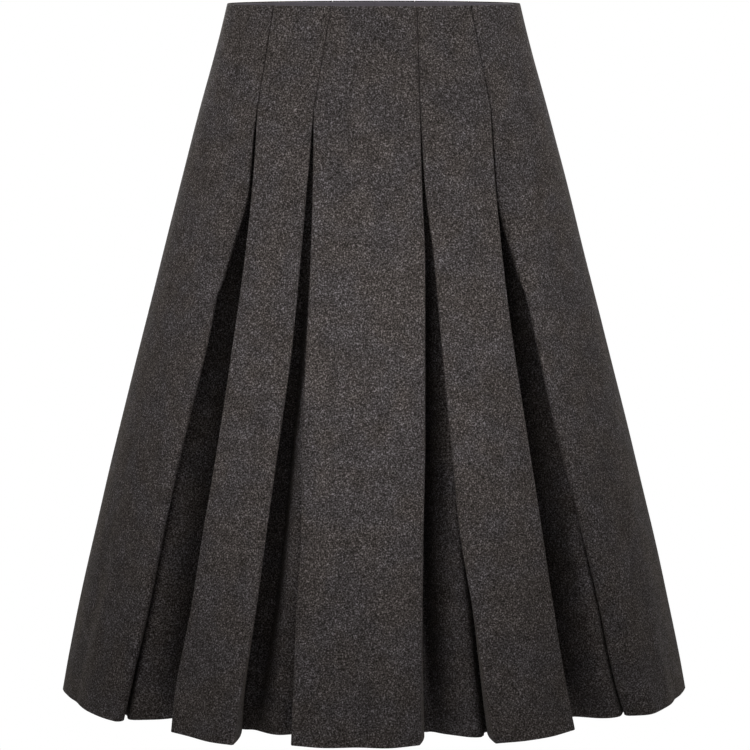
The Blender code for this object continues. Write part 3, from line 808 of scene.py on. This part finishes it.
# A crease of an underlay lies at a share of its width, and is as wide as another share.
hang_underlay(
    "underlay_outer_left_front", "underlay_front_outer_left", side_left_inner, left_outer,
    (crease((400, 0.21, 0, 0.10, 0.12), (560, 0.22, 11, 0.10, 0.12), (HEM, 0.24, 17, 0.12, 0.15)),
     crease((220, 0.46, 0, 0.20, 0.22), (265, 0.48, -22, 0.20, 0.22), (340, 0.49, -44, 0.20, 0.22),
            (460, 0.52, -58, 0.18, 0.22), (620, 0.57, -64, 0.15, 0.22), (770, 0.64, -56, 0.13, 0.22),
            (HEM, 0.66, -24, 0.13, 0.22))))
hang_underlay(
    "underlay_inner_left_front", "underlay_front_inner_left", left_inner, centre_left,
    (crease((300, 0.70, 0, 0.16, 0.17), (440, 0.68, 12, 0.18, 0.17), (620, 0.62, 16, 0.2, 0.22),
            (HEM, 0.58, 12, 0.25, 0.25)),
     crease((280, 0.40, 0, 0.12, 0.08), (380, 0.39, -14, 0.14, 0.10), (500, 0.36, -22, 0.15, 0.10),
            (660, 0.30, -22, 0.14, 0.10), (HEM, 0.16, -5, 0.1, 0.12))))
hang_underlay(
    "underlay_inner_right_front", "underlay_front_inner_right", centre_right, right_inner,
    (crease((300, 0.76, 0, 0.2, 0.2), (500, 0.80, 9, 0.25, 0.1), (640, 0.83, 16, 0.33, 0.08),
            (HEM, 0.86, 22, 0.40, 0.06)),
     crease((250, 0.40, 0, 0.14, 0.2), (320, 0.37, -14, 0.14, 0.2), (440, 0.33, -30, 0.16, 0.15),
            (560, 0.26, -34, 0.15, 0.14), (680, 0.19, -32, 0.11, 0.12), (770, 0.16, -22, 0.09, 0.12),
            (HEM, 0.13, -7, 0.08, 0.11))))
hang_underlay(
    "underlay_outer_right_front", "underlay_front_outer_right", right_outer, side_right_inner,
    (crease((420, 0.75, 0, 0.16, 0.12), (600, 0.72, 10, 0.13, 0.11), (HEM, 0.72, 13, 0.18, 0.11)),
     crease((220, 0.54, 0, 0.22, 0.20), (265, 0.54, -22, 0.22, 0.22), (340, 0.53, -44, 0.22, 0.22),
            (460, 0.52, -58, 0.22, 0.19), (620, 0.47, -62, 0.22, 0.15), (770, 0.40, -46, 0.22, 0.13),
            (HEM, 0.38, -16, 0.22, 0.13))))
hang_underlay(
    "underlay_outer_left_back", "underlay_back_outer_left", back_side_left_inner,
    back_left_outer,
    (crease((480, 0.24, 0, 0.12, 0.14), (600, 0.28, 6, 0.16, 0.16), (HEM, 0.30, 11, 0.16, 0.18)),
     crease((215, 0.46, 0, 0.22, 0.24), (275, 0.46, -14, 0.24, 0.26), (420, 0.48, -18, 0.26, 0.26),
            (600, 0.58, -13, 0.16, 0.2), (HEM, 0.60, -9, 0.17, 0.2))))
hang_underlay(
    "underlay_inner_left_back", "underlay_back_inner_left", back_left_inner,
    back_centre_left_fold,
    (crease((320, 0.55, 0, 0.3, 0.3), (620, 0.55, 6, 0.28, 0.3), (HEM, 0.52, 11, 0.27, 0.3)),))
hang_underlay(
    "underlay_inner_right_back", "underlay_back_inner_right", back_centre_right_fold,
    back_right_inner,
    (crease((300, 0.45, 0, 0.28, 0.3), (640, 0.5, 6, 0.28, 0.28), (HEM, 0.55, 12, 0.3, 0.28)),
     crease((380, 0.88, 0, 0.1, 0.1), (640, 0.88, -4, 0.12, 0.1), (HEM, 0.88, -5, 0.12, 0.1))))
hang_underlay(
    "underlay_outer_right_back", "underlay_back_outer_right", back_right_outer,
    back_side_right_inner,
    (crease((440, 0.74, 0, 0.16, 0.16), (600, 0.68, 6, 0.18, 0.22), (HEM, 0.64, 9, 0.2, 0.24)),
     crease((210, 0.55, 0, 0.22, 0.22), (260, 0.56, -13, 0.24, 0.24), (400, 0.55, -19, 0.26, 0.24),
            (560, 0.44, -13, 0.2, 0.16), (HEM, 0.34, -8, 0.16, 0.14))))


# ==================================================================== waist facing
# A strip of smooth, closely woven facing, 40 mm deep and grey with a faint purple cast, lines
# the waist. Its top edge is turned in just below the waist edge. It stops at the zip but for
# a tongue on each side, which covers the top of the tape.

FACING_HEIGHT = 40.0
FACING_TOP = 1.0
FACING_DEPTH = 2.6
FACING_SINGLE = 1.35                 # where it isn't turned under
TURNED_UNDER = 0.25                  # how much thicker it is where it is
TURNED_MIDDLE = 36.5
TURNED_WIDTH = 2.5
ZIP_SIDE = 13.4                      # from the centre back to the facing beside the zip
TONGUE_END = 7.5
TONGUE_CELLS = 4
FACING_CELL = 4.0
FACING_RIM = ((0.12, 0.16), (0.5, 0.30), (0.88, 0.16))


def strip(side, drops, places, depth, thickness):
    """Two grids of points for a strip inside the waist; places gives its columns at a drop."""
    outer, inner = [], []
    for drop in drops:
        along = places(drop)
        outer.append(place(side, drop, along, np.full_like(along, depth)))
        inner.append(place(side, drop, along, depth + thickness(drop, along)))
    return np.array(outer), np.array(inner)


def weave_group():
    """A fine plain weave: threads over and under each other, with slubs."""
    group, given, made = node_group(
        "fine_weave", (("Dark", "Color", (0.1, 0.1, 0.1, 1)), ("Light", "Color", (0.2, 0.2, 0.2, 1)),
                       ("Threads per metre", "Float", 2000.0)),
        (("Colour", "Color"), ("Height", "Float"), ("Dryness", "Float")))
    spot = group.nodes.new("ShaderNodeTexCoord").outputs["Object"]
    split = group.nodes.new("ShaderNodeSeparateXYZ")
    group.links.new(spot, split.inputs[0])
    turns = maths(group, "MULTIPLY", given.outputs["Threads per metre"], math.pi)
    up = maths(group, "SINE", maths(group, "MULTIPLY", split.outputs["Z"], turns))
    around = maths(group, "SINE", maths(group, "MULTIPLY", split.outputs["X"], turns))
    threads = maths(group, "MULTIPLY", up, around)
    slub = noise(group, spot, 900.0, 2.0, 0.6)
    cloud = noise(group, spot, 60.0, 2.0, 0.5)
    raised = maths(group, "ADD", maths(group, "MULTIPLY", threads, 0.25), 0.25)
    mixed = maths(group, "ADD", raised, maths(group, "MULTIPLY", slub, 0.35))
    mixed = maths(group, "ADD", mixed, maths(group, "MULTIPLY", cloud, 0.20))
    mixed.node.use_clamp = True
    colour = tinted(group, mixed, given.outputs["Dark"], given.outputs["Light"])
    group.links.new(colour.outputs["Result"], made.inputs["Colour"])
    group.links.new(maths(group, "ADD", raised, slub), made.inputs["Height"])
    dry = maths(group, "ADD", maths(group, "MULTIPLY", slub, 0.2), 0.55)
    group.links.new(dry, made.inputs["Dryness"])
    return group


fine_weave = weave_group()


def woven(name, dark, light, threads, sheen):
    """A smooth woven cloth in one colour."""
    material, tree, shader = finish(name)
    lay_cloth(tree, shader, fine_weave, {
        "Dark": (*dark, 1), "Light": (*light, 1), "Threads per metre": threads}, 0.00015, 0.4)
    shader.inputs["Specular IOR Level"].default_value = 0.3
    shader.inputs["Sheen Weight"].default_value = sheen
    return material


facing_cloth = woven("facing_cloth", (0.112, 0.099, 0.116), (0.196, 0.178, 0.204), 1900.0, 0.15)

facing_drops = [FACING_TOP, 1.3, 2.0, 4.0, 6.6, 7.2, TONGUE_END, 11.0, 16.0, 21.0, 27.0, 33.0,
                37.0, 39.2, 39.7, FACING_HEIGHT]


def front_places(drop):
    """Where the front facing's columns lie: from one side seam to the other."""
    end = to_side_seam(drop) - SEAM_GAP / 2
    return np.linspace(-end, end, int(2 * to_side_seam(0) / FACING_CELL))


def back_places(drop):
    """Where a back facing's columns lie: from the side seam to the zip, and on in a tongue."""
    along = np.linspace(to_side_seam(drop) - SEAM_GAP / 2, ZIP_SIDE,
                        int(to_side_seam(0) / FACING_CELL))
    tongue = np.linspace(ZIP_SIDE, SEAM_GAP / 2, TONGUE_CELLS + 1)
    return np.concatenate((along, tongue[1:]))


def facing(name, node, side, places):
    """A length of the facing; it is a little thicker where its edge is turned under."""
    def thickness(drop, along):
        turned = TURNED_UNDER * math.exp(-((drop - TURNED_MIDDLE) / TURNED_WIDTH) ** 2)
        return np.full_like(along, FACING_SINGLE + turned)

    outer, inner = strip(side, facing_drops, places, FACING_DEPTH, thickness)
    kept = every_cell(outer)
    if side == BACK:
        kept[facing_drops.index(TONGUE_END):, -TONGUE_CELLS:] = False
    dress(name, node, outer, inner, kept, facing_cloth, FACING_RIM)


facing("facing_front", "waist_facing_front", FRONT, front_places)
facing("facing_back_left", "waist_facing_back_left", BACK, lambda drop: -back_places(drop))
facing("facing_back_right", "waist_facing_back_right", BACK, back_places)


# ==================================================================== zip tapes
# The concealed zip's two black woven tapes, sewn inside the centre back seam. Their closed
# coil is a narrow bead along the inner edges, turned to the inside of the skirt.

TAPE_WIDTH = 12.0
TAPE_DEPTH = 2.6
TAPE_THICKNESS = 1.0
ZIP_TOP = 7.8
ZIP_END = 185.0
COIL_START = 26.0
COIL_CLOSES_WITHIN = 4.0
COIL_BEAD = 1.1
COIL_WIDE = 1.3
TAPE_COLUMNS = 27
TAPE_PART = 1.1                      # half the gap between the tapes, down to the slider
tape_meets = smooth_line(SLIT_DROPS[2:], (TAPE_PART, SEAM_GAP / 2))
tape_cloth = woven("tape_cloth", (0.012, 0.011, 0.012), (0.034, 0.032, 0.034), 1500.0, 0.05)
tape_drops = [ZIP_TOP, 8.2, 9.0, *np.arange(11.0, ZIP_END - 2, 3.0), ZIP_END - 1.0,
              ZIP_END - 0.4, ZIP_END]


def zip_tape(name, node, hand):
    """One tape of the zip, with half of the closed coil as a bead along its inner edge."""
    def places(drop):
        return hand * np.linspace(float(tape_meets(drop)), TAPE_PART + TAPE_WIDTH, TAPE_COLUMNS)

    def thickness(drop, along):
        bead = np.exp(-((np.abs(along) - float(tape_meets(drop)) - COIL_WIDE) / COIL_WIDE) ** 4)
        closed = min(1.0, max(0.0, drop - COIL_START) / COIL_CLOSES_WITHIN)
        return TAPE_THICKNESS + COIL_BEAD * closed * bead

    outer, inner = strip(BACK, tape_drops, places, TAPE_DEPTH, thickness)
    dress(name, node, outer, inner, every_cell(outer), tape_cloth, FACING_RIM)


zip_tape("tape_left", "zip_tape_left", -1)
zip_tape("tape_right", "zip_tape_right", 1)


# ==================================================================== zip slider and pull
# A small slider of dark lacquered metal closes the zip; its body is behind the tapes, and
# its neck and eye stand out of the seam. The drop-shaped pull tab swings in the eye.

HINGE_OUT = 2.4                      # hinge axis, outside the cloth
BAR_RADIUS = 0.8
ARM_INSIDE = 1.2
ARM_THICKNESS = 1.3
TAB_THICKNESS = 1.2
TAB_TOP = 5.4
TAB_TOP_RADIUS = 2.5
TAB_END = 18.0
TAB_END_RADIUS = 3.6
TAB_ROUNDING = 0.25
WINDOW_END = 2.6                     # bottom of the window that the eye goes through
SHOULDER_POWER = 0.35                # the smaller, the squarer the tab's shoulders


def lacquered_metal():
    """Zinc with a dark grey lacquer, worn a little brighter in fine scratches."""
    material, tree, shader = finish("lacquered_metal")
    spot = tree.nodes.new("ShaderNodeTexCoord").outputs["Object"]
    handled = noise(tree, spot, 900.0, 3.0, 0.65)
    smear = noise(tree, spot, 260.0, 2.0, 0.5)
    tone = tinted(tree, handled, (0.030, 0.029, 0.031), (0.085, 0.083, 0.088))
    tree.links.new(tone.outputs["Result"], shader.inputs["Base Color"])
    rough = maths(tree, "ADD", maths(tree, "MULTIPLY", smear, 0.30), 0.22)
    tree.links.new(rough, shader.inputs["Roughness"])
    shader.inputs["Metallic"].default_value = 0.85
    shader.inputs["Coat Weight"].default_value = 0.3
    shader.inputs["Coat Roughness"].default_value = 0.25
    bump(tree, handled, 0.00004, 0.3, shader)
    return material


metal = lacquered_metal()
hinge = Vector(frame["record"]["behaviour"]["joints"][0]["pos_m"])    # middle of the eye
LEAN = math.atan2(half_depth(40.0) - half_depth(0.0), 40.0)    # the slope of the cloth there


def zip_slider():
    """The slider that closes the zip, with its sharp edges rounded over."""
    mesh = frame["nodes"]["zip_slider"].data.copy()
    mesh.name = "slider"
    form = bmesh.new()
    form.from_mesh(mesh)
    bmesh.ops.remove_doubles(form, verts=form.verts, dist=0.01 * MM)
    bmesh.ops.dissolve_limit(form, angle_limit=math.radians(3), verts=form.verts,
                             edges=form.edges)
    form.to_mesh(mesh)
    form.free()
    mesh.materials.clear()
    mesh.materials.append(metal)
    mesh.shade_smooth()
    piece = put_in("slider", mesh)
    rounded = piece.modifiers.new("rounded", "BEVEL")
    rounded.width = 0.22 * MM
    rounded.segments = 3
    rounded.limit_method = "ANGLE"
    rounded.angle_limit = math.radians(40)
    rounded.harden_normals = True
    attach(piece, "skirt")
    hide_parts("zip_slider")


def tab_outline():
    """The drop-shaped outline of the pull, from its shoulders down and up again."""
    points = []
    shoulder = ARM_INSIDE + ARM_THICKNESS
    for angle in np.linspace(0, math.pi, 7)[1:-1]:
        across = abs(math.cos(angle)) ** SHOULDER_POWER
        points.append((shoulder * math.copysign(across, math.cos(angle)),
                       BAR_RADIUS * math.sin(angle) ** SHOULDER_POWER))
    tilt = math.asin((TAB_END_RADIUS - TAB_TOP_RADIUS) / (TAB_END - TAB_TOP))
    for angle in np.linspace(math.pi + tilt, 2 * math.pi - tilt, 25):
        points.append((TAB_END_RADIUS * math.cos(angle),
                       -TAB_END + TAB_END_RADIUS * math.sin(angle)))
    return points


def pull_tab():
    """The pull: one pressed plate with rounded edges and a window that the eye goes through."""
    curve = bpy.data.curves.new("pull_tab_plate", "CURVE")
    curve.dimensions = "2D"
    curve.fill_mode = "BOTH"
    curve.extrude = (TAB_THICKNESS / 2 - TAB_ROUNDING) * MM
    curve.bevel_depth = TAB_ROUNDING * MM
    curve.bevel_resolution = 3
    window_side, window_top = ARM_INSIDE + TAB_ROUNDING, TAB_ROUNDING - BAR_RADIUS
    window = [(-window_side, window_top), (window_side, window_top),
              (window_side, -WINDOW_END), (-window_side, -WINDOW_END)]
    for outline, inset in ((tab_outline(), TAB_ROUNDING), (window, 0.0)):
        spline = curve.splines.new("POLY")
        spline.points.add(len(outline) - 1)
        middle = np.mean(outline, axis=0)
        for point, (x, z) in zip(spline.points, outline):
            away = Vector((x - middle[0], z - middle[1])).normalized()
            point.co = ((x - away.x * inset) * MM, (z - away.y * inset) * MM, 0.0, 1.0)
        spline.use_cyclic_u = True
    rough = put_in("pull_tab_outline", curve)
    bpy.context.view_layer.update()
    mesh = bpy.data.meshes.new_from_object(
        rough.evaluated_get(bpy.context.evaluated_depsgraph_get()))
    bpy.data.objects.remove(rough, do_unlink=True)
    form = bmesh.new()
    form.from_mesh(mesh)
    bmesh.ops.remove_doubles(form, verts=form.verts, dist=0.004 * MM)
    rests = math.asin((HINGE_OUT - TAB_THICKNESS / 2 - SEAM_GAP) / (TAB_END + TAB_END_RADIUS))
    bmesh.ops.rotate(form, matrix=Matrix.Rotation(math.pi / 2, 3, "X"), verts=form.verts)
    bmesh.ops.rotate(form, matrix=Matrix.Rotation(LEAN - rests, 3, "X"), verts=form.verts)
    bmesh.ops.translate(form, vec=hinge, verts=form.verts)
    form.to_mesh(mesh)
    form.free()
    mesh.name = "pull_tab"
    mesh.materials.clear()
    mesh.materials.append(metal)
    mesh.shade_smooth()
    mesh.set_sharp_from_angle(angle=math.radians(50))
    piece = put_in("pull_tab", mesh)
    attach(piece, "zip_pull")
    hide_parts("zip_pull_tab")


zip_slider()
pull_tab()


# ==================================================================== floor, light and camera
# A plain pale floor well below the hem. Soft lights stand high in front on both sides, with
# weak ones near the front and low, some behind grids that keep their light to a narrow beam,
# and two light the back. A long lens looks slightly down at the skirt.

FLOOR_LEVEL = -1.05


def floor():
    """A pale floor that looks evenly white from everywhere, and lights the skirt as a floor does."""
    form = bmesh.new()
    bmesh.ops.create_grid(form, x_segments=1, y_segments=1, size=6.0)
    mesh = bpy.data.meshes.new("floor")
    form.to_mesh(mesh)
    form.free()
    piece = put_in("floor", mesh)
    piece.location = (0, 0, FLOOR_LEVEL)
    material, tree, shader = finish("pale_floor")
    shader.inputs["Base Color"].default_value = (0.72, 0.72, 0.72, 1)
    shader.inputs["Roughness"].default_value = 0.9
    glow = tree.nodes.new("ShaderNodeEmission")
    seen = tree.nodes.new("ShaderNodeLightPath").outputs["Is Camera Ray"]
    both = tree.nodes.new("ShaderNodeMixShader")
    tree.links.new(seen, both.inputs[0])
    tree.links.new(shader.outputs[0], both.inputs[1])
    tree.links.new(glow.outputs[0], both.inputs[2])
    tree.links.new(both.outputs[0], tree.nodes["Material Output"].inputs["Surface"])
    mesh.materials.append(material)


def light(name, position, aim, size, power, spread=180):
    """A soft square light that faces a point; a grid in front of it narrows its spread."""
    lamp = bpy.data.lights.new(name, "AREA")
    lamp.size = size
    lamp.energy = power
    lamp.spread = math.radians(spread)
    piece = put_in(name, lamp)
    piece.location = position
    piece.rotation_euler = (Vector(aim) - Vector(position)).to_track_quat("-Z", "Y").to_euler()


floor()
light("key", (-0.73, -0.62, 0.46), (0, -0.25, -0.30), 0.4, 6.8)
light("high_right", (1.06, -0.28, 1.51), (0, -0.25, -0.30), 0.9, 22.0)
light("near_right", (0.59, -0.48, 0.26), (0, -0.25, -0.30), 0.3, 1.35)
light("left", (-0.68, -1.01, 0.04), (0, -0.25, -0.30), 0.4, 0.3)
light("front", (0, -0.85, -0.35), (0, -0.25, -0.30), 0.3, 0.27)
light("left_grid", (-0.68, -1.01, 0.04), (0, -0.25, -0.45), 0.4, 0.30, 45)
light("right_grid", (0.56, -0.76, -0.06), (0.06, -0.25, -0.30), 0.3, 0.17, 80)
light("low_grid", (0.56, -0.76, -0.06), (0, -0.25, -0.45), 0.3, 0.11, 45)
light("high_grid", (-0.25, -1.0, 0.55), (0.06, -0.25, -0.25), 0.4, 0.11, 45)
light("back", (-0.95, 1.75, 0.75), (0, 0.2, -0.35), 0.6, 30.0)
light("back_fill", (1.4, 2.0, 0.3), (0, 0.1, -0.35), 0.9, 14.0)

world = bpy.data.worlds.new("studio")
world.use_nodes = True
sky = world.node_tree.nodes["Background"]
sky.inputs["Color"].default_value = (1, 1, 1, 1)
for_eye = world.node_tree.nodes.new("ShaderNodeLightPath").outputs["Is Camera Ray"]
AMBIENT = 0.008
seen_as = maths(world.node_tree, "ADD",
                maths(world.node_tree, "MULTIPLY", for_eye, 1 - AMBIENT), AMBIENT)
world.node_tree.links.new(seen_as, sky.inputs["Strength"])
bpy.context.scene.world = world
bpy.context.scene.view_settings.view_transform = "Standard"

LOOKS_DOWN = 8.907
camera = put_in("camera", bpy.data.cameras.new("camera"))
camera.data.lens = 146.85
camera.data.sensor_width = 36.0
camera.data.clip_end = 100.0
camera.location = (0.0016, -3.7, 0.1287)
camera.rotation_euler = (math.radians(90 - LOOKS_DOWN), 0, 0)
bpy.context.scene.camera = camera
